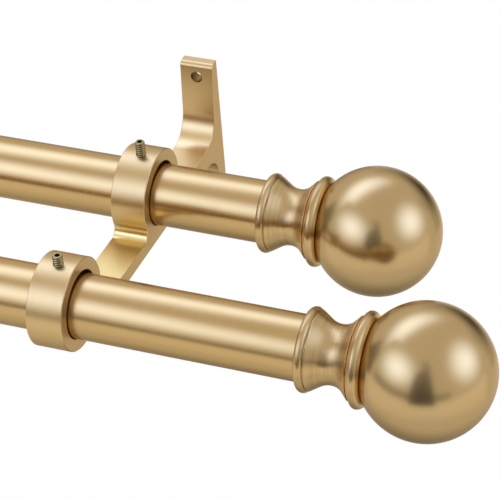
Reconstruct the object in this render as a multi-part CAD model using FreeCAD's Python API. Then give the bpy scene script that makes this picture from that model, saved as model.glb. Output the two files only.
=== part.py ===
import FreeCAD, Part
import math
import os

# Double curtain pole: two telescopic poles in a pair of one-piece wall brackets, with ball finials.
# Millimetres. The origin lies on the wall plane, midway between the brackets, at the middle height of
# their wall plates. +X runs along the poles, +Y into the wall, +Z up.

V = FreeCAD.Vector

# Poles
pole_diameter = 25.0
tube_wall = 0.7
telescope_gap = 0.8
tail_room = 51.0
front_overhang = 88.0
rear_overhang = 44.8
mouth_overhang = 20.0

# Wall brackets, cut from one extruded section
bracket_spacing = 612.0
bracket_width = 14.4
wall_to_rear_ring = 65.5
ring_spacing = 78.5
rear_ring_height = 16.9
front_ring_rise = 5.1
ring_bore_play = 1.4
ring_wall = 4.9
ring_fillet = 3.5
pole_arm_thickness = 6.0
wall_arm_thickness = 5.5
plate_height = 76.6
plate_edge_thickness = 5.0
plate_root_thickness = 7.9
plate_nose_radius = 2.2
cove_radius = 12.0
sawn_edge_round = 0.35
wall_hole_diameter = 5.0
wall_hole_inset = 6.1

# Grub screws
grub_diameter = 4.0
rear_grub_length = 12.0
front_grub_length = 10.0
grub_socket_width = 2.0
grub_socket_depth = 2.5
grub_edge = 0.4
grub_point_taper = 0.8

# Finial necks; the waist is measured back from the ball end
neck_length = 24.8
rim_reveal = 0.1
rim_rise = 3.25
rim_radius = 1.8
rim_turn = math.radians(62)
hairline = 0.3
neck_edge_round = 0.3
waist_setback = 12.8
waist_diameter = 22.5
shoulder_radius = 8.1
flare_radius = 6.9
flare_step = 1.8
notch_width = 2.0
notch_depth = 0.8
bead_nose_radius = 1.45
bead_nose_width = 1.1
bead_lip = 2.7
cup_edge = 0.12

# Finial balls and studs
ball_diameter = 50.8
ball_wall = 1.2
ball_seat_depth = 5.0
ball_boss_diameter = 11.0
ball_boss_length = 8.0
stud_diameter = 6.0
stud_in_plug = 15.0

# Plastic inserts
plug_length = 22.0
plug_lead = 1.0
sleeve_barrel = 14.0
sleeve_flange = 2.0
glide_flange = 3.0
glide_spigot = 12.0
glide_wall = 1.3

# Radial clearances
seat_clearance = 0.05
press_clearance = 0.05
glide_clearance = 0.25

# Sizes that follow from the ones above
pole_radius = pole_diameter / 2
outer_bore_radius = pole_radius - tube_wall
inner_tube_radius = outer_bore_radius - telescope_gap
inner_bore_radius = inner_tube_radius - tube_wall
ring_bore_radius = (pole_diameter + ring_bore_play) / 2
ring_radius = ring_bore_radius + ring_wall
pole_drop = ring_bore_radius - pole_radius - seat_clearance

rear_ring = V(0, -wall_to_rear_ring, rear_ring_height)
front_ring = rear_ring + V(0, -ring_spacing, front_ring_rise)

bracket_face_x = (bracket_spacing + bracket_width) / 2
mouth_x = -(bracket_face_x + mouth_overhang)
shorter_overhang = min(front_overhang, rear_overhang)
inner_tube_length = 2 * (bracket_face_x + shorter_overhang) - plug_length - glide_flange - tail_room
wall_hole_spacing = plate_height - 2 * wall_hole_inset

ball_radius = ball_diameter / 2
ball_centre = neck_length - ball_seat_depth + ball_radius
cup_radius = ball_radius + seat_clearance
stud_radius = stud_diameter / 2
stud_hole_radius = stud_radius + press_clearance
boss_end = ball_centre - ball_radius + ball_boss_length


def unit(vector):
    return vector / vector.Length


def line(start, end):
    return Part.LineSegment(start, end).toShape()


def meeting_point(first, first_direction, second, second_direction):
    """Point where two lines in the YZ plane meet."""
    normal = V(0, -second_direction.z, second_direction.y)
    return first + first_direction * ((second - first).dot(normal) / first_direction.dot(normal))


def rounded_corner(before, corner, after, radius):
    """Arc that rounds a corner of an outline, with the points where it leaves the two sides."""
    side_in = unit(before - corner)
    side_out = unit(after - corner)
    half_angle = side_in.getAngle(side_out) / 2
    bisector = unit(side_in + side_out)
    start = corner + side_in * (radius / math.tan(half_angle))
    end = corner + side_out * (radius / math.tan(half_angle))
    middle = corner + bisector * (radius / math.sin(half_angle) - radius)
    return start, Part.Arc(start, middle, end).toShape(), end


def plate_half(side, arm_point, arm_direction):
    """Half of the wall plate, from the middle of its back to the arm: the upper half for side 1."""
    back_middle = V(0, 0, 0)
    back_end = V(0, 0, side * plate_height / 2)
    front_end = back_end - V(0, plate_edge_thickness, 0)
    front_root = V(0, -plate_root_thickness, 0)
    corner = meeting_point(front_end, front_root - front_end, arm_point, arm_direction)
    nose_start, nose, nose_end = rounded_corner(back_end, front_end, corner, plate_nose_radius)
    cove_start, cove, cove_end = rounded_corner(front_end, corner, arm_point, cove_radius)
    edges = [
        line(back_middle, back_end),
        line(back_end, nose_start),
        nose,
        line(nose_end, cove_start),
        cove,
    ]
    return edges, cove_end


def arm_root(ring, direction, arm_thickness):
    """Fillet where the top of an arm, which leaves the foot of a ring, runs into the ring."""
    down = V(0, -direction.z, direction.y) * math.copysign(1, -direction.y)
    depth = ring_radius - arm_thickness - ring_fillet
    reach = math.sqrt((ring_radius + ring_fillet) ** 2 - depth ** 2)
    centre = ring + direction * reach + down * depth
    on_arm = centre + down * ring_fillet
    on_ring = centre + unit(ring - centre) * ring_fillet
    middle = centre + unit(on_arm + on_ring - centre * 2) * ring_fillet
    return Part.Arc(on_arm, middle, on_ring).toShape(), on_arm, on_ring


def over_the_ring(ring, start, end):
    """Arc of a ring's outside from one point to another by way of its crown."""
    return Part.Arc(start, ring + V(0, 0, ring_radius), end).toShape()


def bracket_section():
    """Side view of the bracket: wall plate, wall arm, rear ring, pole arm and front ring.

    The underside is one straight line, tangent to both rings, that runs down to the wall plate.
    """
    forward = unit(front_ring - rear_ring)
    below = V(0, -forward.z, forward.y)
    to_wall = V(0, 1, 0)
    front_under = front_ring + below * ring_radius

    wall_fillet, wall_on_arm, wall_on_ring = arm_root(rear_ring, to_wall, wall_arm_thickness)
    rear_fillet, rear_on_arm, rear_on_ring = arm_root(rear_ring, forward, pole_arm_thickness)
    front_fillet, front_on_arm, front_on_ring = arm_root(front_ring, forward * -1, pole_arm_thickness)
    upper, upper_cove_end = plate_half(1, wall_on_arm, to_wall)
    lower, lower_cove_end = plate_half(-1, front_under, forward)

    edges = upper + lower + [
        line(upper_cove_end, wall_on_arm),
        wall_fillet,
        over_the_ring(rear_ring, wall_on_ring, rear_on_ring),
        rear_fillet,
        line(rear_on_arm, front_on_arm),
        front_fillet,
        over_the_ring(front_ring, front_on_ring, front_under),
        line(front_under, lower_cove_end),
    ]
    outline = Part.Wire(Part.__sortEdges__(edges))
    bores = [Part.makeCircle(ring_bore_radius, ring, V(1, 0, 0)) for ring in (rear_ring, front_ring)]
    discs = Part.makeCompound([Part.Face(Part.Wire(bore)) for bore in bores])
    return Part.Face(outline).cut(discs).Faces[0]


def bracket(centre_x):
    """Bracket sawn off the extrusion, its sawn edges rounded, with screw holes and tapped ring crowns."""
    section = bracket_section().translated(V(centre_x - bracket_width / 2, 0, 0))
    blank = section.extrude(V(bracket_width, 0, 0))
    sawn_faces = [face for face in blank.Faces if abs(face.normalAt(0, 0).x) > 0.99]
    blank = blank.makeFillet(sawn_edge_round, [edge for face in sawn_faces for edge in face.Edges])
    drills = []
    for side in (-1, 1):
        foot = V(centre_x, -2 * plate_root_thickness, side * wall_hole_spacing / 2)
        drills.append(Part.makeCylinder(wall_hole_diameter / 2, 3 * plate_root_thickness, foot, V(0, 1, 0)))
    for ring in (rear_ring, front_ring):
        tap_radius = grub_diameter / 2 + press_clearance
        drills.append(Part.makeCylinder(tap_radius, 2 * ring_radius, ring + V(centre_x, 0, 0)))
    return blank.cut(Part.makeCompound(drills)).Solids[0]


def grub_screw(length):
    """Upright grub screw with a hexagon socket and a tapered flat point, its point at the origin."""
    radius = grub_diameter / 2
    outline = [
        V(0, 0, 0),
        V(radius - grub_point_taper, 0, 0),
        V(radius, 0, grub_point_taper),
        V(radius, 0, length - grub_edge),
        V(radius - grub_edge, 0, length),
        V(0, 0, length),
        V(0, 0, 0),
    ]
    body = Part.Face(Part.makePolygon(outline)).revolve(V(0, 0, 0), V(0, 0, 1), 360)
    corner = V(grub_socket_width / math.sqrt(3), 0, length)
    corners = [FreeCAD.Rotation(V(0, 0, 1), 60 * k).multVec(corner) for k in range(6)]
    socket = Part.Face(Part.makePolygon(corners + corners[:1])).extrude(V(0, 0, -grub_socket_depth))
    return body.cut(socket).Solids[0]


def grub_screws():
    """One grub screw in the crown of every ring, its point on the pole."""
    screws = []
    for x in (-bracket_spacing / 2, bracket_spacing / 2):
        for ring, length in ((rear_ring, rear_grub_length), (front_ring, front_grub_length)):
            point_height = pole_radius - pole_drop + seat_clearance
            screws.append(grub_screw(length).translated(ring + V(x, 0, point_height)))
    return Part.makeCompound(screws)


def lathe(edges):
    """Solid turned about the X axis from a closed outline in the XY plane, where Y is the radius."""
    return Part.Face(Part.Wire(edges)).revolve(V(0, 0, 0), V(1, 0, 0), 360).Solids[0]


def turned_ring(outline):
    """Solid turned about the X axis from corner points given as (distance along the axis, radius)."""
    corners = [V(x, radius, 0) for x, radius in outline]
    return lathe(Part.makePolygon(corners + corners[:1]).Edges)


def tube(radius, length):
    """Tube along +X from the origin."""
    bore = radius - tube_wall
    return turned_ring([(0, bore), (length, bore), (length, radius), (0, radius)])


def around(centre, radius, turn):
    """Point on a circle in the XY plane, turned from its top towards +X."""
    return centre + V(math.sin(turn), math.cos(turn), 0) * radius


def hollow(waist, edge, radius):
    """Arc that leaves the waist level and runs on as a straight cone to an edge on either side of it."""
    side = math.copysign(1, edge.x - waist.x)
    centre = waist + V(0, radius, 0)
    reach = edge - centre
    turn = side * (math.pi / 2 - math.atan2(reach.y, abs(reach.x)) + math.acos(radius / reach.Length))
    cone_start = around(centre, radius, turn)
    middle = around(centre, radius, (turn + side * math.pi) / 2)
    return [Part.Arc(waist, middle, cone_start).toShape(), line(cone_start, edge)]


def finial_neck():
    """Turned neck: half-round rim at the pole, a waist between two hollow cones, and a bead round the cup."""
    rim_foot = V(0, pole_radius + rim_reveal, 0)
    rim_crown = rim_foot + V(rim_radius, rim_rise, 0)
    rim_centre = rim_crown - V(0, rim_radius, 0)
    rim_side = rim_centre - V(rim_radius, 0, 0)
    rim_end = around(rim_centre, rim_radius, rim_turn)
    groove_start = rim_end - V(0, hairline, 0)
    groove_end = groove_start + V(hairline, 0, 0)
    shoulder_centre = groove_end + V(neck_edge_round, 0, 0)
    shoulder_edge = around(shoulder_centre, neck_edge_round, 0)
    waist = V(neck_length - waist_setback, waist_diameter / 2, 0)

    cup_mouth = math.sqrt(cup_radius ** 2 - (ball_centre - neck_length) ** 2)
    cup_rim = V(neck_length, cup_mouth + cup_edge, 0)
    bead_radius = bead_lip - cup_edge
    bead_crest = cup_rim + V(-bead_radius, bead_radius, 0)
    bead_centre = bead_crest - V(0, bead_radius, 0)
    nose_centre = bead_crest - V(0, bead_nose_radius, 0)
    nose_turn = -math.asin(bead_nose_width / bead_nose_radius)
    bead_start = around(nose_centre, bead_nose_radius, nose_turn)
    flare_edge = bead_start - V(notch_width, flare_step, 0)
    flare_centre = flare_edge - V(0, neck_edge_round, 0)
    flare_back = flare_centre + V(neck_edge_round, 0, 0)
    notch = flare_back - V(0, notch_depth - neck_edge_round, 0)

    def on_cup(radius):
        return V(ball_centre - math.sqrt(cup_radius ** 2 - radius ** 2), radius, 0)

    cup_start = on_cup(cup_mouth - cup_edge)
    cup_middle = on_cup((cup_mouth + stud_hole_radius) / 2)
    cup_end = on_cup(stud_hole_radius)
    stud_hole_mouth = V(0, stud_hole_radius, 0)

    edges = [
        line(stud_hole_mouth, rim_foot),
        line(rim_foot, rim_side),
        Part.Arc(rim_side, rim_crown, rim_end).toShape(),
        line(rim_end, groove_start),
        line(groove_start, groove_end),
        Part.Arc(groove_end, around(shoulder_centre, neck_edge_round, -math.pi / 4), shoulder_edge).toShape(),
    ]
    edges += reversed(hollow(waist, shoulder_edge, shoulder_radius))
    edges += hollow(waist, flare_edge, flare_radius)
    edges += [
        Part.Arc(flare_edge, around(flare_centre, neck_edge_round, math.pi / 4), flare_back).toShape(),
        line(flare_back, notch),
        line(notch, bead_start),
        Part.Arc(bead_start, around(nose_centre, bead_nose_radius, nose_turn / 2), bead_crest).toShape(),
        Part.Arc(bead_crest, around(bead_centre, bead_radius, math.pi / 4), cup_rim).toShape(),
        line(cup_rim, cup_start),
        Part.Arc(cup_start, cup_middle, cup_end).toShape(),
        line(cup_end, stud_hole_mouth),
    ]
    return lathe(edges)


def finial_ball():
    """Hollow ball with an inward boss that takes the stud."""
    centre = V(ball_centre, 0, 0)
    inner_radius = ball_radius - ball_wall
    boss_radius = ball_boss_diameter / 2
    crown = centre + V(ball_radius, 0, 0)
    inner_crown = centre + V(inner_radius, 0, 0)
    mouth = V(ball_centre - math.sqrt(ball_radius ** 2 - stud_hole_radius ** 2), stud_hole_radius, 0)
    boss_root = V(ball_centre - math.sqrt(inner_radius ** 2 - boss_radius ** 2), boss_radius, 0)
    boss_mouth = V(boss_end, stud_hole_radius, 0)
    boss_corner = V(boss_end, boss_radius, 0)
    return lathe([
        Part.Arc(crown, centre + V(0, ball_radius, 0), mouth).toShape(),
        line(mouth, boss_mouth),
        line(boss_mouth, boss_corner),
        line(boss_corner, boss_root),
        Part.Arc(boss_root, centre + V(0, inner_radius, 0), inner_crown).toShape(),
        line(inner_crown, crown),
    ])


def finial_stud():
    """Rod from inside the end plug to the end of the ball's boss, its thread left plain."""
    return Part.makeCylinder(stud_radius, stud_in_plug + boss_end, V(-stud_in_plug, 0, 0), V(1, 0, 0))


def end_plug(bore_radius):
    """Plug pressed into a tube's end, flush with it, bored for the stud and tapered at its inner end."""
    radius = bore_radius - press_clearance
    return turned_ring([
        (0, stud_hole_radius),
        (0, radius),
        (plug_lead - plug_length, radius),
        (-plug_length, radius - plug_lead),
        (-plug_length, stud_hole_radius),
    ])


def mouth_sleeve():
    """Flanged sleeve in the mouth of an outer tube that steadies the inner tube; the tube runs to +X."""
    bore = inner_tube_radius + glide_clearance
    barrel = outer_bore_radius - press_clearance
    return turned_ring([
        (-sleeve_flange, bore),
        (sleeve_barrel, bore),
        (sleeve_barrel, barrel),
        (0, barrel),
        (0, pole_radius),
        (-sleeve_flange, pole_radius),
    ])


def tail_glide():
    """Cap on the hidden end of an inner tube that runs in the outer tube; the inner tube runs to -X."""
    spigot = inner_bore_radius - press_clearance
    rim = outer_bore_radius - glide_clearance
    bore = spigot - glide_wall
    return turned_ring([
        (-glide_spigot, bore),
        (glide_flange, bore),
        (glide_flange, rim),
        (0, rim),
        (0, spigot),
        (-glide_spigot, spigot),
    ])


def pole(name, overhang, ring):
    """One telescopic pole with its finials, as node names and solids."""
    axis = ring - V(0, 0, pole_drop)
    end_x = bracket_face_x + overhang
    tail_x = inner_tube_length - end_x
    pieces = {
        name + "_outer_tube": tube(pole_radius, end_x - mouth_x).translated(axis + V(mouth_x, 0, 0)),
        name + "_mouth_sleeve": mouth_sleeve().translated(axis + V(mouth_x, 0, 0)),
        name + "_inner_tube": tube(inner_tube_radius, inner_tube_length).translated(axis - V(end_x, 0, 0)),
        name + "_tail_glide": tail_glide().translated(axis + V(tail_x, 0, 0)),
    }
    for side, turn, bore_radius in (("right", 0, outer_bore_radius), ("left", 180, inner_bore_radius)):
        fittings = {
            "end_plug": end_plug(bore_radius),
            "finial_neck": finial_neck(),
            "finial_ball": finial_ball(),
            "finial_stud": finial_stud(),
        }
        for piece, shape in fittings.items():
            shape.translate(V(end_x, 0, 0))
            shape.rotate(V(0, 0, 0), V(0, 0, 1), turn)
            pieces["_".join((name, side, piece))] = shape.translated(axis)
    return pieces


nodes = {
    "bracket_left": bracket(-bracket_spacing / 2),
    "bracket_right": bracket(bracket_spacing / 2),
    "grub_screws": grub_screws(),
}
nodes.update(pole("rear", rear_overhang, rear_ring))
nodes.update(pole("front", front_overhang, front_ring))

os.makedirs("parts", exist_ok=True)
for node, shape in nodes.items():
    shape.exportStep(os.path.join("parts", node + ".step"))
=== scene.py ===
import math

import bmesh
import bpy
from bpy.props import FloatProperty, FloatVectorProperty, IntProperty, PointerProperty
from mathutils import Matrix, Vector


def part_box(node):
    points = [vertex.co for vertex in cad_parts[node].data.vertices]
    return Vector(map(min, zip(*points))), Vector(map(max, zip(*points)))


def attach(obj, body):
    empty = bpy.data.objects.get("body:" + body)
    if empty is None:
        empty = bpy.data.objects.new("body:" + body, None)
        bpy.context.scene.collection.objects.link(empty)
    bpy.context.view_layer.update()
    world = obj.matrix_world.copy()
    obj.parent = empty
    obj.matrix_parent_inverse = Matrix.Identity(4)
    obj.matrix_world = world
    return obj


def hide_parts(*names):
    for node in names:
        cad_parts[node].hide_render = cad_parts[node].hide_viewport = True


bl_info = {
    "name": "Double curtain pole",
    "version": (1, 0, 0),
    "blender": (4, 5, 0),
    "location": "3D View > Sidebar > Curtain pole",
    "description": "Metal finishes, threaded grub screws and a studio for a double curtain pole",
    "category": "Object",
}

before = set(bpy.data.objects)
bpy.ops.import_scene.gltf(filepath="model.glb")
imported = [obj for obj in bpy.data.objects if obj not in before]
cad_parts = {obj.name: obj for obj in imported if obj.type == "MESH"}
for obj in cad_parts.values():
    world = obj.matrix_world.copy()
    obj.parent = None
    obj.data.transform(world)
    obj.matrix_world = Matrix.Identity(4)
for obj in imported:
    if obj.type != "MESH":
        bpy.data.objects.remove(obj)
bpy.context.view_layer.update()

POLES = ("front", "rear")
SIDES = ("left", "right")
FIXED_BODY = "fixed_poles"
UP = Vector((0, 0, 1))
WHITE = (1, 1, 1)

# Nearly all values of a noise pattern lie between these two.
PATTERN_LOW = 0.3
PATTERN_HIGH = 0.7
# A colour mix takes its two colours in these sockets and gives its result from this one.
MIX_FIRST = 6
MIX_SECOND = 7
MIX_RESULT = 2


def mm(millimetres):
    """Millimetres as metres."""
    return millimetres / 1000


def linear(hex_colour):
    """An sRGB hex colour as linear red, green and blue."""
    channels = [int(hex_colour[k:k + 2], 16) / 255 for k in (1, 3, 5)]
    return tuple(c / 12.92 if c <= 0.04045 else ((c + 0.055) / 1.055) ** 2.4 for c in channels)


# Gold stays gold at a slant, where a plain metal would turn white.
GOLD_EDGE = linear("#F6E9D7")
# Roughness goes up and down by this much with the lines of brushed or turned metal.
LINE_SWING = 0.025
# It also does so by this much over broad patches, of one size on lined metal and another on the balls.
PATCH_SWING = 0.015
LINED_PATCH = mm(35)
BALL_PATCH = mm(18)
# Zinc plate varies over small patches, in roughness and height.
ZINC_SWING = 0.05
ZINC_RELIEF = mm(0.005)
NYLON_IOR = 1.53
# A bracket's face is one of its sawn sides where its normal's X part is over this.
SIDEWAYS = 0.9
# Faceted walls of holes lie a little off the true round, so a search for them reaches this much further.
HOLE_SLACK = mm(0.05)
BORE_SLACK = mm(0.15)
# Share at which depth into the plate counts in the search for the screw holes.
HOLE_DEPTH_SHARE = 0.05
# Rows of facets along one pitch of a screw's thread.
THREAD_ROWS = 10
# Share of the thread's depth that still stands at the screw's socket end.
END_CREST = 0.15
# Share of the thread's depth, from its root, that is dark with oil and painted shade.
OILED_AND_SHADED_SHARE = 0.45
SENSOR_MILLIMETRES = 36
# Flat strips in a curved studio flag.
FLAG_STRIPS = 24


def middle(node):
    """Middle of a solid's box."""
    low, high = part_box(node)
    return (low + high) / 2


def tint(name, hex_colour, description):
    """A colour that a user may change."""
    return FloatVectorProperty(name=name, description=description, subtype="COLOR", size=3, min=0, max=1,
                               default=linear(hex_colour))


def share(name, description, default):
    """A share from 0 to 1 that a user may change."""
    return FloatProperty(name=name, description=description, subtype="FACTOR", min=0, max=1,
                         default=default)


def length(name, description, default):
    """A length in metres that a user may change."""
    return FloatProperty(name=name, description=description, subtype="DISTANCE", unit="LENGTH",
                         default=default)


def angle(name, description, degrees):
    """An angle that a user may change."""
    return FloatProperty(name=name, description=description, subtype="ANGLE", unit="ROTATION",
                         default=math.radians(degrees))


class TubeFinish(bpy.types.PropertyGroup):
    """Finish of the poles' tubes."""

    colour: tint("Colour", "#B29361", "Gold plate of the tubes")
    roughness: share("Roughness", "Roughness of the brushed plate", 0.24)
    anisotropy: share("Brushing", "How far the brush lines stretch the highlights", 0.2)
    line_spacing: length("Line spacing", "Distance between brush lines, coarse enough to show", mm(0.7))
    line_length: length("Line length", "Length of a brush line round the tube", mm(14))
    line_depth: length("Line depth", "How far the brush lines stand up", mm(0.0006))
    line_contrast: share("Line contrast", "How far the brush lines darken and lighten the colour", 0.02)


class BracketFinish(bpy.types.PropertyGroup):
    """Finish of the wall brackets."""

    colour: tint("Colour", "#B99B6A", "Champagne anodising of the brackets")
    roughness: share("Roughness", "Roughness of the brushed faces", 0.33)
    roughness_swing: share("Roughness swing", "How far roughness goes up and down with the lines", 0.03)
    side_roughness: share("Side roughness", "How much rougher the sawn sides are", 0.08)
    anisotropy: share("Brushing", "How far the brush lines stretch the highlights", 0.4)
    line_spacing: length("Line spacing", "Distance between brush lines, coarse enough to show", mm(0.8))
    line_length: length("Line length", "Length of a brush line along the section", mm(25))
    line_depth: length("Line depth", "How far the brush lines stand up", mm(0.003))
    line_contrast: share("Line contrast", "How far the brush lines darken and lighten the colour", 0.05)
    # Painted bounce light: the walls of the ring bores are drawn a lighter gold, so the gaps beside the
    # poles glow.
    bore_glow_colour: tint("Bore colour", "#E2B878", "Reamed walls of the ring bores, glowing beside the poles")
    bore_diameter: length("Bore diameter", "Diameter of the ring bores", mm(26.4))
    bore_rise: length("Bore rise", "Height of the bores' middles above the poles' middles", mm(0.65))
    corner_colour: tint("Corner colour", "#E0C480", "Gold between arm and ring, where light bounces on")
    ring_diameter: length("Ring diameter", "Outside diameter of the rings", mm(36.2))
    arm_thickness: length("Arm thickness", "Thickness of the arm between the rings", mm(6))
    corner_height: length("Corner height", "How far the corner reaches up the ring above the arm", mm(5))
    corner_margin: length("Corner margin", "How far the corner ends short of the poles' middles", mm(5))
    cove_colour: tint("Cove colour", "#CDAE7A", "Gold between wall plate and ring, where light bounces on")
    cove_tilt: share("Cove tilt", "Upward part of a face's normal at which the cove's gold begins", 0.05)
    plate_thickness: length("Plate thickness", "Thickness of the wall plate at the cove", mm(7))
    # Painted shade: the walls of the screw holes are drawn dark brown for the shade that falls inside them.
    hole_shade_colour: tint("Hole colour", "#7A5C34", "Drilled walls of the screw holes, dull and dark")
    hole_diameter: length("Hole diameter", "Diameter of the screw holes", mm(5))
    hole_spacing: length("Hole spacing", "Distance between the two screw holes of a wall plate", mm(64.4))


class FinialFinish(bpy.types.PropertyGroup):
    """Finish of the turned necks and the balls."""

    neck_colour: tint("Neck colour", "#B09364", "Gold anodising of the turned necks")
    neck_roughness: share("Neck roughness", "Roughness of the turned necks", 0.3)
    neck_anisotropy: share("Turning", "How far the turning lines stretch the highlights", 0.85)
    neck_line_spacing: length("Turning lines", "Distance between the lines, coarse enough to show", mm(0.9))
    neck_line_length: length("Turning length", "Length of a turning line round the neck", mm(30))
    neck_line_depth: length("Turning depth", "How far the turning lines stand up", mm(0.003))
    neck_line_contrast: share("Turning contrast", "How far the lines darken and lighten the colour", 0.3)
    groove_colour: tint("Groove colour", "#DDBB80", "Gold in the neck's grooves, where light bounces on")
    notch_place: length("Notch place", "Middle of the notch, from the neck's foot", mm(20.2))
    notch_width: length("Notch width", "Width of the notch between cone and bead", mm(1.8))
    bead_crest: length("Bead crest", "Crest of the bead, from the neck's foot", mm(22.2))
    groove_start: length("Groove start", "Where the groove behind the bead begins, from its crest", mm(0.9))
    groove_end: length("Groove end", "Where that groove has its full colour, from the crest", mm(2.5))
    ball_colour: tint("Ball colour", "#B09466", "Gold plate of the balls")
    ball_roughness: share("Ball roughness", "Roughness of the satin balls", 0.235)
    ball_grain: length("Ball grain", "Grain of the satin plate, coarse enough to show", mm(0.5))
    ball_grain_depth: length("Grain depth", "How far the grain stands up", mm(0.002))
    ball_grain_contrast: share("Grain contrast", "How far the grain darkens and lightens the colour", 0.025)


class GrubScrewSizes(bpy.types.PropertyGroup):
    """Sizes and finish of the grub screws."""

    diameter: length("Diameter", "Outside diameter of the thread", mm(4))
    front_length: length("Front length", "Length of the screws that hold the front pole", mm(10))
    rear_length: length("Rear length", "Length of the screws that hold the rear pole", mm(12))
    pitch: length("Pitch", "Thread pitch, drawn coarser than the real 0.7 mm so that it shows", mm(0.95))
    thread_depth: length("Thread depth", "Depth of the thread's groove", mm(0.5))
    socket_width: length("Socket width", "Hexagon socket across its flats", mm(2))
    socket_depth: length("Socket depth", "Depth of the hexagon socket", mm(2.5))
    point_taper: length("Point taper", "Height and width of the taper at the point", mm(0.8))
    edge: length("Edge", "Chamfer at the socket end", mm(0.4))
    segments: IntProperty(name="Segments", description="Facets round a screw", min=12, default=48)
    colour: tint("Colour", "#8E7C50", "Yellow zinc plate of the screws")
    # Thread oil and painted shade: the root of the thread is drawn nearly black brown.
    root_oil_and_shade_colour: tint("Root colour", "#3E331E", "Oiled root of the thread")
    roughness: share("Roughness", "Roughness of the zinc plate", 0.3)
    patch_size: length("Patch size", "Size of the patches in the yellow passivation", mm(0.8))
    contrast: share("Contrast", "How far the patches darken and lighten the colour", 0.12)


class InsertFinish(bpy.types.PropertyGroup):
    """Finish of the plastic inserts and the studs."""

    plastic_colour: tint("Plastic colour", "#5A4630", "Bronze brown nylon of sleeves, glides and plugs")
    plastic_roughness: share("Plastic roughness", "Roughness of the moulded nylon", 0.5)
    plastic_swing: share("Plastic swing", "How far its roughness goes up and down with the grain", 0.06)
    plastic_grain: length("Plastic grain", "Grain of the mould, coarse enough to show", mm(0.4))
    plastic_depth: length("Plastic depth", "How far the grain stands up", mm(0.02))
    plastic_contrast: share("Plastic contrast", "How far the grain darkens and lightens the colour", 0.1)
    stud_colour: tint("Stud colour", "#B9B9B4", "Bright zinc plate of the studs")
    stud_roughness: share("Stud roughness", "Roughness of the zinc plate", 0.35)
    stud_patch: length("Stud patches", "Size of the patches in the zinc plate", mm(1.5))
    stud_contrast: share("Stud contrast", "How far the patches darken and lighten the colour", 0.08)


class Studio(bpy.types.PropertyGroup):
    """Camera, floor, softboxes and flags."""

    aim: FloatVectorProperty(
        name="Aim", description="Point that the camera looks at", subtype="TRANSLATION", unit="LENGTH",
        size=3, default=(0.3681, -0.1097, 0.0333),
    )
    azimuth: angle("Azimuth", "Camera's turn from straight ahead towards the right-hand finials", 22.986)
    elevation: angle("Elevation", "Camera's height above the level", 38.205)
    roll: angle("Roll", "Camera's tilt about its own axis", -4.559)
    distance: length("Distance", "Camera's distance from the point it looks at", 0.8)
    lens: FloatProperty(
        name="Lens", description="Focal length on a 36 mm sensor", subtype="DISTANCE_CAMERA",
        default=154.93,
    )
    floor_drop: length("Floor drop", "Floor's depth below the finials", 0.9)
    floor_reach: length("Floor reach", "Distance from the finials to the floor's sides", 6.0)
    world_strength: FloatProperty(
        name="Surround", description="Brightness of the white surround", min=0, default=1.0,
    )
    softbox_strength: FloatProperty(
        name="Softboxes", description="Brightness at the softboxes' middles", min=0, default=5.15,
    )
    back_strength: FloatProperty(
        name="Back softbox", description="Brightness of the back softbox, times that of the others", min=0,
        default=1.05,
    )
    softbox_tint: tint("Softbox tint", "#B7CCFF", "Daylight tint of the softboxes")


def add_node(tree, kind, settings=None, inputs=None):
    """Add a node with its settings; another node's output is linked to an input, a plain value is set."""
    node = tree.nodes.new(kind)
    for name, value in (settings or {}).items():
        setattr(node, name, value)
    for socket, value in (inputs or {}).items():
        if isinstance(value, bpy.types.NodeSocket):
            tree.links.new(value, node.inputs[socket])
        else:
            node.inputs[socket].default_value = value
    return node


def new_material(name):
    """An empty node material."""
    material = bpy.data.materials.new(name)
    material.use_nodes = True
    material.node_tree.nodes.clear()
    return material


def streaks(tree, across, spacing, run):
    """Pattern of fine lines of a given spacing and length; across is the axis they lie across."""
    scale = [1 / run] * 3
    scale["XYZ".index(across)] = 1 / spacing
    place = add_node(tree, "ShaderNodeTexCoord")
    stretched = add_node(tree, "ShaderNodeVectorMath", {"operation": "MULTIPLY"},
                         {0: place.outputs["Object"], 1: scale})
    noise = add_node(tree, "ShaderNodeTexNoise", None,
                     {"Vector": stretched.outputs[0], "Scale": 1.0, "Detail": 3.0, "Roughness": 0.65})
    return noise.outputs["Fac"]


def clouds(tree, size):
    """Pattern of soft uneven patches of a given size."""
    place = add_node(tree, "ShaderNodeTexCoord")
    noise = add_node(tree, "ShaderNodeTexNoise", None,
                     {"Vector": place.outputs["Object"], "Scale": 1 / size,
                      "Detail": 2.0, "Roughness": 0.5})
    return noise.outputs["Fac"]


def worn(tree, pattern, roughness, swing):
    """Roughness that goes up and down by a swing with a pattern."""
    spread = add_node(tree, "ShaderNodeMapRange", None,
                      {"Value": pattern, "From Min": PATTERN_LOW, "From Max": PATTERN_HIGH,
                       "To Min": roughness - swing, "To Max": roughness + swing})
    return spread.outputs["Result"]


def lined(tree, lines, roughness):
    """Roughness of brushed or turned metal, which varies with its lines and over broad patches."""
    both = add_node(tree, "ShaderNodeMath", {"operation": "ADD"},
                    {0: worn(tree, lines, roughness, LINE_SWING),
                     1: worn(tree, clouds(tree, LINED_PATCH), 0.0, PATCH_SWING)})
    return both.outputs[0]


def toned(tree, colour, pattern, contrast):
    """The colour, darkened and lightened by a contrast as the pattern goes from 0 to 1."""
    dark = [c * (1 - contrast) for c in colour]
    light = [min(1, c * (1 + contrast)) for c in colour]
    tone = add_node(tree, "ShaderNodeMix", {"data_type": "RGBA"},
                    {0: pattern, MIX_FIRST: (*dark, 1), MIX_SECOND: (*light, 1)})
    return tone.outputs[MIX_RESULT]


def patched(tree, colour, patches):
    """The colour with others laid over it: each patch is a mask, 1 where it covers, and its colour."""
    for mask, other in patches:
        cover = add_node(tree, "ShaderNodeMix", {"data_type": "RGBA"},
                         {0: mask, MIX_FIRST: colour, MIX_SECOND: (*other, 1)})
        colour = cover.outputs[MIX_RESULT]
    return colour


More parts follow.
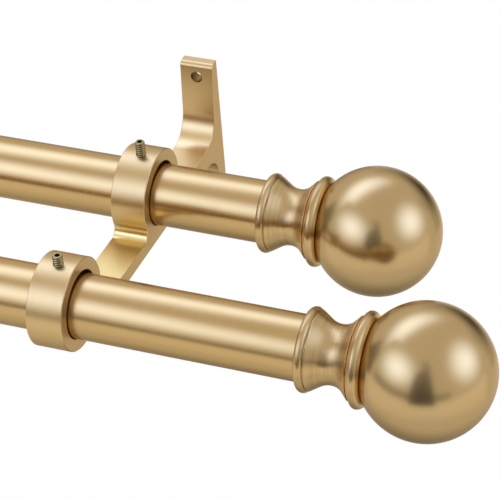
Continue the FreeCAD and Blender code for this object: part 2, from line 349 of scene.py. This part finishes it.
def finish_metal(tree, colour, roughness, relief, depth, anisotropy=0.0, edge=WHITE):
    """Metal shader for a tree: relief stands up by a depth, and edge tints what is seen at a slant."""
    bump = add_node(tree, "ShaderNodeBump", None, {"Height": relief, "Distance": depth, "Strength": 1.0})
    inputs = {"Base Color": colour, "Metallic": 1.0, "Roughness": roughness, "Normal": bump.outputs[0],
              "Specular Tint": (*edge, 1)}
    if anisotropy:
        # The lines run round the X axis and stretch highlights along it, a quarter turn from the tangent.
        tangent = add_node(tree, "ShaderNodeTangent", {"direction_type": "RADIAL", "axis": "X"})
        inputs["Anisotropic"] = anisotropy
        inputs["Anisotropic Rotation"] = 1 / 4
        inputs["Tangent"] = tangent.outputs[0]
    shader = add_node(tree, "ShaderNodeBsdfPrincipled", None, inputs)
    add_node(tree, "ShaderNodeOutputMaterial", None, {"Surface": shader.outputs[0]})


def brushed_gold_tube():
    """Gold-plated steel tube, belt brushed round its girth: long satin bands crossed by hair-fine lines."""
    finish = bpy.context.scene.tube_finish
    material = new_material("gold_plated_brushed_steel")
    tree = material.node_tree
    lines = streaks(tree, "X", finish.line_spacing, finish.line_length)
    colour = toned(tree, finish.colour, lines, finish.line_contrast)
    finish_metal(tree, colour, lined(tree, lines, finish.roughness), lines, finish.line_depth,
                 finish.anisotropy, GOLD_EDGE)
    return material


def place_axes(tree):
    """X, Y and Z of a place on the part, in the part's own frame."""
    place = add_node(tree, "ShaderNodeTexCoord")
    return add_node(tree, "ShaderNodeSeparateXYZ", None, {0: place.outputs["Object"]}).outputs


def in_neck_groove(tree, finish):
    """1 in a neck's notch and, by degrees, on the side of its bead that faces the ball, 0 elsewhere."""
    front_foot, rear_foot = (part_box(f"{pole}_right_finial_neck")[0].x for pole in POLES)
    between_poles = sum(middle(f"{pole}_outer_tube").y for pole in POLES) / len(POLES)
    axes = place_axes(tree)
    # Both ends of a pole are alike, so the distance from the middle finds the necks of both.
    along = add_node(tree, "ShaderNodeMath", {"operation": "ABSOLUTE"}, {0: axes["X"]})
    in_front = add_node(tree, "ShaderNodeMath", {"operation": "LESS_THAN"},
                        {0: axes["Y"], 1: between_poles})
    foot = add_node(tree, "ShaderNodeMath", {"operation": "MULTIPLY_ADD"},
                    {0: in_front.outputs[0], 1: front_foot - rear_foot, 2: rear_foot})
    from_foot = add_node(tree, "ShaderNodeMath", {"operation": "SUBTRACT"},
                         {0: along.outputs[0], 1: foot.outputs[0]})
    notch = add_node(tree, "ShaderNodeMath", {"operation": "COMPARE"},
                     {0: from_foot.outputs[0], 1: finish.notch_place, 2: finish.notch_width / 2})
    behind_bead = add_node(tree, "ShaderNodeMapRange", None,
                           {"Value": from_foot.outputs[0],
                            "From Min": finish.bead_crest + finish.groove_start,
                            "From Max": finish.bead_crest + finish.groove_end})
    both = add_node(tree, "ShaderNodeMath", {"operation": "MAXIMUM"},
                    {0: notch.outputs[0], 1: behind_bead.outputs[0]})
    return both.outputs[0]


def turned_gold_neck():
    """Turned aluminium, anodised gold: tool lines round the neck break its highlights into soft stripes."""
    finish = bpy.context.scene.finial_finish
    material = new_material("gold_anodised_turned_aluminium")
    tree = material.node_tree
    lines = streaks(tree, "X", finish.neck_line_spacing, finish.neck_line_length)
    colour = patched(tree, toned(tree, finish.neck_colour, lines, finish.neck_line_contrast),
                     [(in_neck_groove(tree, finish), finish.groove_colour)])
    finish_metal(tree, colour, lined(tree, lines, finish.neck_roughness), lines, finish.neck_line_depth,
                 finish.neck_anisotropy, GOLD_EDGE)
    return material


def in_wall_hole(tree, finish):
    """1 on the walls of the screw holes through the wall plates, 0 elsewhere."""
    hole = (middle("bracket_right").x, 0, finish.hole_spacing / 2)
    place = add_node(tree, "ShaderNodeTexCoord")
    # The holes lie alike on both sides and at both ends of the plates, so the folded place finds all four.
    folded = add_node(tree, "ShaderNodeVectorMath", {"operation": "ABSOLUTE"}, {0: place.outputs["Object"]})
    # Depth counts for little, so that a hole's whole wall lies within reach and the rings before it do not.
    flattened = add_node(tree, "ShaderNodeVectorMath", {"operation": "MULTIPLY"},
                         {0: folded.outputs[0], 1: (1, HOLE_DEPTH_SHARE, 1)})
    reach = add_node(tree, "ShaderNodeVectorMath", {"operation": "DISTANCE"},
                     {0: flattened.outputs[0], 1: hole})
    inside = add_node(tree, "ShaderNodeMath", {"operation": "LESS_THAN"},
                      {0: reach.outputs["Value"], 1: finish.hole_diameter / 2 + HOLE_SLACK})
    return inside.outputs[0]


def in_ring_bore(tree, finish):
    """1 on the walls of the ring bores, 0 elsewhere."""
    place = add_node(tree, "ShaderNodeTexCoord")
    section = add_node(tree, "ShaderNodeVectorMath", {"operation": "MULTIPLY"},
                       {0: place.outputs["Object"], 1: (0, 1, 1)})
    reaches = []
    for pole in POLES:
        axis = middle(f"{pole}_outer_tube") + UP * finish.bore_rise
        reach = add_node(tree, "ShaderNodeVectorMath", {"operation": "DISTANCE"},
                         {0: section.outputs[0], 1: (0, axis.y, axis.z)})
        reaches.append(reach.outputs["Value"])
    nearest = add_node(tree, "ShaderNodeMath", {"operation": "MINIMUM"}, dict(enumerate(reaches)))
    inside = add_node(tree, "ShaderNodeMath", {"operation": "LESS_THAN"},
                      {0: nearest.outputs[0], 1: finish.bore_diameter / 2 + BORE_SLACK})
    return inside.outputs[0]


def in_arm_corner(tree, finish, on_side):
    """1 on top of the arm between the rings, fading out as the ring rises from it, 0 elsewhere."""
    front, rear = (middle(f"{pole}_outer_tube") for pole in POLES)
    slope = (front.z - rear.z) / (front.y - rear.y)
    arm_top = rear.z + finish.bore_rise - finish.ring_diameter / 2 + finish.arm_thickness
    axes = place_axes(tree)
    level = add_node(tree, "ShaderNodeMath", {"operation": "MULTIPLY_ADD"},
                     {0: axes["Y"], 1: -slope, 2: axes["Z"]})
    above_arm = add_node(tree, "ShaderNodeMath", {"operation": "SUBTRACT"},
                         {0: level.outputs[0], 1: arm_top - slope * rear.y})
    fading = add_node(tree, "ShaderNodeMapRange", None,
                      {"Value": above_arm.outputs[0], "From Min": finish.corner_height, "From Max": 0.0})
    on_top = add_node(tree, "ShaderNodeMath", {"operation": "GREATER_THAN"},
                      {0: above_arm.outputs[0], 1: -finish.arm_thickness / 2})
    between = add_node(tree, "ShaderNodeMath", {"operation": "COMPARE"},
                       {0: axes["Y"], 1: (front.y + rear.y) / 2,
                        2: (rear.y - front.y) / 2 - finish.corner_margin})
    top_between = add_node(tree, "ShaderNodeMath", {"operation": "MULTIPLY"},
                           {0: on_top.outputs[0], 1: between.outputs[0]})
    corner = add_node(tree, "ShaderNodeMath", {"operation": "MULTIPLY"},
                      {0: top_between.outputs[0], 1: fading.outputs[0]})
    off_side = add_node(tree, "ShaderNodeMath", {"operation": "SUBTRACT", "use_clamp": True},
                        {0: corner.outputs[0], 1: on_side})
    return off_side.outputs[0]


def in_cove(tree, finish, upward):
    """0 to 1 between wall plate and rear ring, the more a face looks up, and 0 elsewhere."""
    ring_back = middle("rear_outer_tube").y + finish.ring_diameter / 2
    half_reach = (-finish.plate_thickness - ring_back) / 2
    between = add_node(tree, "ShaderNodeMath", {"operation": "COMPARE"},
                       {0: place_axes(tree)["Y"], 1: ring_back + half_reach, 2: half_reach})
    looking_up = add_node(tree, "ShaderNodeMapRange", None, {"Value": upward, "From Min": finish.cove_tilt})
    cove = add_node(tree, "ShaderNodeMath", {"operation": "MULTIPLY"},
                    {0: between.outputs[0], 1: looking_up.outputs[0]})
    return cove.outputs[0]


def champagne_bracket():
    """Anodised aluminium extrusion: brushed along its section, with plainer sawn and linished sides."""
    finish = bpy.context.scene.bracket_finish
    material = new_material("champagne_anodised_aluminium")
    tree = material.node_tree
    surface = add_node(tree, "ShaderNodeNewGeometry")
    facing = add_node(tree, "ShaderNodeSeparateXYZ", None, {0: surface.outputs["True Normal"]}).outputs
    sideways = add_node(tree, "ShaderNodeMath", {"operation": "ABSOLUTE"}, {0: facing["X"]})
    side_test = add_node(tree, "ShaderNodeMath", {"operation": "GREATER_THAN"},
                         {0: sideways.outputs[0], 1: SIDEWAYS})
    on_side = side_test.outputs[0]
    drawn = streaks(tree, "X", finish.line_spacing, finish.line_length)
    sawn = streaks(tree, "Z", finish.line_spacing, finish.line_length)
    either = add_node(tree, "ShaderNodeMix", {"data_type": "FLOAT"},
                      {"Factor": on_side, "A": drawn, "B": sawn})
    lines = either.outputs["Result"]
    roughness = add_node(tree, "ShaderNodeMath", {"operation": "MULTIPLY_ADD"},
                         {0: on_side, 1: finish.side_roughness,
                          2: worn(tree, lines, finish.roughness, finish.roughness_swing)})
    colour = patched(tree, toned(tree, finish.colour, lines, finish.line_contrast), [
        # Painted shade on the walls of the screw holes.
        (in_wall_hole(tree, finish), finish.hole_shade_colour),
        # Painted bounce light on the walls of the ring bores.
        (in_ring_bore(tree, finish), finish.bore_glow_colour),
        (in_arm_corner(tree, finish, on_side), finish.corner_colour),
        (in_cove(tree, finish, facing["Z"]), finish.cove_colour),
    ])
    finish_metal(tree, colour, roughness.outputs[0], lines, finish.line_depth, finish.anisotropy, GOLD_EDGE)
    return material


def satin_gold_ball():
    """Gold-plated spun steel, satin all over: soft round highlights with a fine even grain."""
    finish = bpy.context.scene.finial_finish
    material = new_material("gold_plated_satin_steel")
    tree = material.node_tree
    grain = clouds(tree, finish.ball_grain)
    roughness = worn(tree, clouds(tree, BALL_PATCH), finish.ball_roughness, PATCH_SWING)
    finish_metal(tree, toned(tree, finish.ball_colour, grain, finish.ball_grain_contrast), roughness, grain,
                 finish.ball_grain_depth, edge=GOLD_EDGE)
    return material


def yellow_zinc():
    """Zinc-plated steel with a yellow passivation: dull olive brass in small uneven patches."""
    sizes = bpy.context.scene.grub_screws
    material = new_material("yellow_zinc_plated_steel")
    tree = material.node_tree
    patches = clouds(tree, sizes.patch_size)
    finish_metal(tree, toned(tree, sizes.colour, patches, sizes.contrast),
                 worn(tree, patches, sizes.roughness, ZINC_SWING), patches, ZINC_RELIEF)
    return material


def oiled_and_shaded_thread():
    """Zinc-plated steel under thread oil, with painted shade in the thread's root: nearly black brown, so
    that the crests stand out as bars.
    """
    sizes = bpy.context.scene.grub_screws
    material = new_material("oiled_and_shaded_thread_root")
    tree = material.node_tree
    patches = clouds(tree, sizes.patch_size)
    finish_metal(tree, toned(tree, sizes.root_oil_and_shade_colour, patches, sizes.contrast), sizes.roughness, patches,
                 ZINC_RELIEF)
    return material


def bright_zinc():
    """Zinc-plated steel rod: bluish white and faintly mottled."""
    finish = bpy.context.scene.insert_finish
    material = new_material("bright_zinc_plated_steel")
    tree = material.node_tree
    patches = clouds(tree, finish.stud_patch)
    finish_metal(tree, toned(tree, finish.stud_colour, patches, finish.stud_contrast),
                 worn(tree, patches, finish.stud_roughness, ZINC_SWING), patches, ZINC_RELIEF)
    return material


def moulded_nylon():
    """Moulded nylon coloured bronze brown: a dull sheen with the fine spark-eroded grain of its mould."""
    finish = bpy.context.scene.insert_finish
    material = new_material("bronze_brown_moulded_nylon")
    tree = material.node_tree
    grain = clouds(tree, finish.plastic_grain)
    bump = add_node(tree, "ShaderNodeBump", None,
                    {"Height": grain, "Distance": finish.plastic_depth, "Strength": 1.0})
    shader = add_node(tree, "ShaderNodeBsdfPrincipled", None, {
        "Base Color": toned(tree, finish.plastic_colour, grain, finish.plastic_contrast),
        "Roughness": worn(tree, grain, finish.plastic_roughness, finish.plastic_swing),
        "IOR": NYLON_IOR,
        "Normal": bump.outputs[0],
    })
    add_node(tree, "ShaderNodeOutputMaterial", None, {"Surface": shader.outputs[0]})
    return material


def dress(nodes, material):
    """Give solids a finish in place of the plain one they came with."""
    for node in nodes:
        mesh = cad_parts[node].data
        mesh.materials.clear()
        mesh.materials.append(material)


def threaded_screw(bm, foot, height, sizes):
    """Add one upright grub screw with its point on foot: thread, tapered point and hexagon socket."""
    radius = sizes.diameter / 2
    root = radius - sizes.thread_depth
    turns = [2 * math.pi * k / sizes.segments for k in range(sizes.segments)]
    rows = int(height / sizes.pitch * THREAD_ROWS)

    def crest(turn, z):
        phase = (z / sizes.pitch - turn / (2 * math.pi)) % 1
        return 1 - abs(2 * phase - 1)

    def thread(turn, z):
        end = root + ((height - z) / sizes.edge + END_CREST) * sizes.thread_depth
        point = radius - sizes.point_taper * max(0, 1 - z / sizes.point_taper)
        return min(root + crest(turn, z) * sizes.thread_depth, radius, end, point)

    def hexagon(turn):
        return sizes.socket_width / 2 / math.cos((turn % (math.pi / 3)) - math.pi / 6)

    levels = [height * row / rows for row in range(rows + 1)]
    rings = [[(thread(turn, z), z) for turn in turns] for z in levels]
    rings.append([(hexagon(turn), height) for turn in turns])
    rings.append([(hexagon(turn), height - sizes.socket_depth) for turn in turns])

    verts = []
    for ring in rings:
        places = [(r * math.cos(turn), r * math.sin(turn), z) for turn, (r, z) in zip(turns, ring)]
        verts.append([bm.verts.new(foot + Vector(place)) for place in places])
    for row, (lower, upper) in enumerate(zip(verts, verts[1:])):
        z = height * (row + 0.5) / rows
        for k in range(sizes.segments):
            j = (k + 1) % sizes.segments
            face = bm.faces.new((lower[k], lower[j], upper[j], upper[k]))
            # Faces in the thread's root take the dark colour of oil and painted shade.
            in_root = crest(turns[k] + math.pi / sizes.segments, z) < OILED_AND_SHADED_SHARE
            face.material_index = 1 if in_root and z < height - sizes.edge else 0
    bm.faces.new(list(reversed(verts[0])))
    bm.faces.new(verts[-1])


class POLE_OT_tubes(bpy.types.Operator):
    """Brush and plate the tubes of both poles"""

    bl_idname = "curtain_pole.tubes"
    bl_label = "Tubes"

    def execute(self, context):
        dress([f"{pole}_{tube}_tube" for pole in POLES for tube in ("outer", "inner")], brushed_gold_tube())
        return {"FINISHED"}


class POLE_OT_brackets(bpy.types.Operator):
    """Brush and anodise the wall brackets"""

    bl_idname = "curtain_pole.brackets"
    bl_label = "Wall brackets"

    def execute(self, context):
        dress([f"bracket_{side}" for side in SIDES], champagne_bracket())
        return {"FINISHED"}


class POLE_OT_finials(bpy.types.Operator):
    """Finish the turned necks and the balls"""

    bl_idname = "curtain_pole.finials"
    bl_label = "Finials"

    def execute(self, context):
        ends = [f"{pole}_{side}" for pole in POLES for side in SIDES]
        dress([f"{end}_finial_neck" for end in ends], turned_gold_neck())
        dress([f"{end}_finial_ball" for end in ends], satin_gold_ball())
        dress([f"{end}_finial_stud" for end in ends], bright_zinc())
        return {"FINISHED"}


class POLE_OT_grub_screws(bpy.types.Operator):
    """Put a threaded grub screw in the crown of every ring"""

    bl_idname = "curtain_pole.grub_screws"
    bl_label = "Grub screws"

    def execute(self, context):
        sizes = context.scene.grub_screws
        heights = {"front": sizes.front_length, "rear": sizes.rear_length}
        bm = bmesh.new()
        for side in SIDES:
            for pole in POLES:
                tube_middle = middle(f"{pole}_outer_tube")
                tube_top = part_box(f"{pole}_outer_tube")[1].z
                foot = Vector((middle(f"bracket_{side}").x, tube_middle.y, tube_top))
                threaded_screw(bm, foot, heights[pole], sizes)
        mesh = bpy.data.meshes.new("threaded_grub_screws")
        bm.to_mesh(mesh)
        bm.free()
        mesh.materials.append(yellow_zinc())
        mesh.materials.append(oiled_and_shaded_thread())
        screws = bpy.data.objects.new("threaded_grub_screws", mesh)
        context.scene.collection.objects.link(screws)
        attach(screws, FIXED_BODY)
        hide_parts("grub_screws")
        return {"FINISHED"}


class POLE_OT_inserts(bpy.types.Operator):
    """Colour the sleeves, glides and plugs"""

    bl_idname = "curtain_pole.inserts"
    bl_label = "Plastic inserts"

    def execute(self, context):
        pieces = [f"{pole}_{piece}" for pole in POLES
                  for piece in ("mouth_sleeve", "tail_glide", "left_end_plug", "right_end_plug")]
        dress(pieces, moulded_nylon())
        return {"FINISHED"}


def place_camera(context):
    """Camera at the photograph's viewing angle."""
    studio = context.scene.studio
    level = math.cos(studio.elevation)
    forward = Vector((-math.sin(studio.azimuth) * level, math.cos(studio.azimuth) * level,
                      -math.sin(studio.elevation)))
    flat_right = forward.cross(UP).normalized()
    flat_up = flat_right.cross(forward)
    right = flat_right * math.cos(studio.roll) + flat_up * math.sin(studio.roll)
    up = right.cross(forward)
    data = bpy.data.cameras.new("camera")
    data.lens = studio.lens
    data.sensor_width = SENSOR_MILLIMETRES
    camera = bpy.data.objects.new("camera", data)
    turn = Matrix((right, up, -forward)).transposed().to_4x4()
    camera.matrix_world = Matrix.Translation(Vector(studio.aim) - forward * studio.distance) @ turn
    context.scene.collection.objects.link(camera)
    context.scene.camera = camera


def stage_mesh(context, name, corners, faces, material):
    """A piece of the studio, which is no part of the object."""
    mesh = bpy.data.meshes.new(name)
    mesh.from_pydata(corners, [], faces)
    mesh.materials.append(material)
    piece = bpy.data.objects.new(name, mesh)
    context.scene.collection.objects.link(piece)
    return piece


def white_floor():
    """Matt white card, which gives an even white ground."""
    material = new_material("matt_white_card")
    tree = material.node_tree
    shader = add_node(tree, "ShaderNodeBsdfDiffuse", None, {"Color": (*linear("#FFFFFF"), 1)})
    add_node(tree, "ShaderNodeOutputMaterial", None, {"Surface": shader.outputs[0]})
    return material


def glowing_cloth(name, rim, centre, colour=WHITE):
    """Cloth that fades from a coloured glow of one brightness at its middle to a white one at its rim."""
    material = new_material(name)
    tree = material.node_tree
    place = add_node(tree, "ShaderNodeTexCoord")
    centred = add_node(tree, "ShaderNodeVectorMath", {"operation": "MULTIPLY_ADD"},
                       {0: place.outputs["UV"], 1: (2, 2, 0), 2: (-1, -1, 0)})
    round_fade = add_node(tree, "ShaderNodeTexGradient", {"gradient_type": "SPHERICAL"},
                          {0: centred.outputs[0]})
    soft_fade = add_node(tree, "ShaderNodeMapRange", {"interpolation_type": "SMOOTHSTEP"},
                         {"Value": round_fade.outputs["Fac"]})
    glow = add_node(tree, "ShaderNodeMix", {"data_type": "RGBA"},
                    {0: soft_fade.outputs[0], MIX_FIRST: (rim, rim, rim, 1),
                     MIX_SECOND: (*(centre * c for c in colour), 1)})
    light = add_node(tree, "ShaderNodeEmission", None, {"Color": glow.outputs[MIX_RESULT]})
    add_node(tree, "ShaderNodeOutputMaterial", None, {"Surface": light.outputs[0]})
    return material


def flag_cloth(name, low, high):
    """Plain cloth that brightens evenly from its foot to its top."""
    material = new_material(name)
    tree = material.node_tree
    place = add_node(tree, "ShaderNodeTexCoord")
    rise = add_node(tree, "ShaderNodeSeparateXYZ", None, {0: place.outputs["UV"]})
    strength = add_node(tree, "ShaderNodeMapRange", None,
                        {"Value": rise.outputs["Y"], "To Min": low, "To Max": high})
    light = add_node(tree, "ShaderNodeEmission", None, {"Strength": strength.outputs[0]})
    add_node(tree, "ShaderNodeOutputMaterial", None, {"Surface": light.outputs[0]})
    return material


def bearing(azimuth, elevation):
    """Direction from the finials: azimuth 0 is away from the wall, positive towards the right-hand end."""
    a = math.radians(azimuth)
    e = math.radians(elevation)
    return Vector((math.sin(a) * math.cos(e), -math.cos(a) * math.cos(e), math.sin(e)))


def panel(context, name, point, material, strips=1):
    """A studio panel that only reflections see; point(u, v) gives its surface."""
    corners = [point(k / strips, v) for k in range(strips + 1) for v in (0, 1)]
    faces = [(2 * k, 2 * k + 2, 2 * k + 3, 2 * k + 1) for k in range(strips)]
    piece = stage_mesh(context, name, corners, faces, material)
    layer = piece.data.uv_layers.new(name="cloth")
    for loop in piece.data.loops:
        layer.data[loop.index].uv = (loop.vertex_index // 2 / strips, loop.vertex_index % 2)
    piece.visible_camera = False
    piece.visible_shadow = False
    piece.visible_diffuse = False


def card(context, finials, name, material, azimuth, elevation, distance, width, height):
    """A flat panel that faces the finials; angles in degrees, sizes in metres."""
    out = bearing(azimuth, elevation)
    side = UP.cross(out).normalized()
    rise = out.cross(side)

    def point(u, v):
        return finials + out * distance + side * (width * (u - 0.5)) + rise * (height * (v - 0.5))

    panel(context, name, point, material)


def flag(context, finials, name, material, radius, foot, top, elevations):
    """A curved panel round the finials; foot and top are the azimuths, in degrees, that it spans there."""
    def point(u, v):
        start, end = (low + (high - low) * v for low, high in zip(foot, top))
        rise = math.tan(math.radians(elevations[0] + (elevations[1] - elevations[0]) * v))
        return finials + (bearing(start + (end - start) * u, 0) + UP * rise) * radius

    panel(context, name, point, material, FLAG_STRIPS)


class POLE_OT_stage(bpy.types.Operator):
    """Set up the camera, the floor, the softboxes and the flags"""

    bl_idname = "curtain_pole.stage"
    bl_label = "Studio"

    def execute(self, context):
        studio = context.scene.studio
        place_camera(context)

        # The floor and the panels lie round the point between the right-hand balls.
        finials = (middle("front_right_finial_ball") + middle("rear_right_finial_ball")) / 2
        reach = studio.floor_reach
        sides = ((-reach, -reach), (reach, -reach), (reach, reach), (-reach, reach))
        corners = [finials + Vector((x, y, -studio.floor_drop)) for x, y in sides]
        stage_mesh(context, "floor", corners, [(0, 1, 2, 3)], white_floor())

        white = studio.world_strength
        glow = studio.softbox_strength
        diffuser = glowing_cloth("diffuser_cloth", white, glow, studio.softbox_tint)
        back_diffuser = glowing_cloth("back_diffuser_cloth", white, glow * studio.back_strength,
                                      studio.softbox_tint)
        card(context, finials, "left_softbox", diffuser, azimuth=-40, elevation=32,
             distance=0.9, width=1.5, height=1.0)
        card(context, finials, "right_softbox", diffuser, azimuth=95, elevation=27,
             distance=1.3, width=2.0, height=1.8)
        card(context, finials, "back_softbox", back_diffuser, azimuth=-130, elevation=50,
             distance=1.2, width=2.7, height=1.1)
        flag(context, finials, "floor_bounce", flag_cloth("white_bounce", low=0.9, high=1.33), radius=1.1,
             foot=(-80, 115), top=(-80, 115), elevations=(-60, -9))
        card(context, finials, "floor_shade", glowing_cloth("grey_cloth", rim=white, centre=0.36),
             azimuth=215, elevation=-73, distance=0.6, width=1.4, height=1.4)
        card(context, finials, "back_flag", glowing_cloth("black_cloth", rim=0.75, centre=0.0),
             azimuth=168, elevation=-3, distance=1.2, width=1.5, height=1.0)
        card(context, finials, "backdrop", glowing_cloth("dark_grey_cloth", rim=white, centre=0.35),
             azimuth=195, elevation=-24, distance=1.6, width=4.5, height=2.6)
        flag(context, finials, "camera_flag", flag_cloth("flag_cloth", low=0.05, high=0.55), radius=0.85,
             foot=(-9, 28), top=(1, 22), elevations=(-12.5, 56))
        flag(context, finials, "front_skirt", flag_cloth("skirt_cloth", low=0.3, high=0.6), radius=0.9,
             foot=(-70, 50), top=(-70, 50), elevations=(-5.5, 5))
        flag(context, finials, "left_flag", flag_cloth("left_cloth", low=0.1, high=0.6), radius=2.4,
             foot=(-110, -80), top=(-102, -88), elevations=(-10, 30))

        world = bpy.data.worlds.new("white_surround")
        world.use_nodes = True
        background = world.node_tree.nodes["Background"]
        background.inputs["Color"].default_value = (*WHITE, 1)
        background.inputs["Strength"].default_value = white
        context.scene.world = world
        context.scene.view_settings.view_transform = "Standard"
        return {"FINISHED"}


class POLE_PT_panel(bpy.types.Panel):
    """Sizes, finishes and steps of the curtain pole"""

    bl_idname = "POLE_PT_panel"
    bl_label = "Double curtain pole"
    bl_space_type = "VIEW_3D"
    bl_region_type = "UI"
    bl_category = "Curtain pole"

    def draw(self, context):
        for name, group in GROUPS.items():
            box = self.layout.box()
            box.label(text=group.__doc__)
            for prop in group.__annotations__:
                box.prop(getattr(context.scene, name), prop)
        for step in STEPS:
            self.layout.operator(step.bl_idname)


GROUPS = {
    "tube_finish": TubeFinish,
    "bracket_finish": BracketFinish,
    "finial_finish": FinialFinish,
    "grub_screws": GrubScrewSizes,
    "insert_finish": InsertFinish,
    "studio": Studio,
}
STEPS = (
    POLE_OT_tubes,
    POLE_OT_brackets,
    POLE_OT_finials,
    POLE_OT_grub_screws,
    POLE_OT_inserts,
    POLE_OT_stage,
)


def register():
    for group in GROUPS.values():
        bpy.utils.register_class(group)
    for name, group in GROUPS.items():
        setattr(bpy.types.Scene, name, PointerProperty(type=group))
    for cls in STEPS + (POLE_PT_panel,):
        bpy.utils.register_class(cls)


def unregister():
    for cls in reversed(STEPS + (POLE_PT_panel,)):
        bpy.utils.unregister_class(cls)
    for name in GROUPS:
        delattr(bpy.types.Scene, name)
    for group in reversed(GROUPS.values()):
        bpy.utils.unregister_class(group)


def main():
    register()
    bpy.ops.curtain_pole.tubes()
    bpy.ops.curtain_pole.brackets()
    bpy.ops.curtain_pole.finials()
    bpy.ops.curtain_pole.grub_screws()
    bpy.ops.curtain_pole.inserts()
    bpy.ops.curtain_pole.stage()


if __name__ == "__main__":
    main()
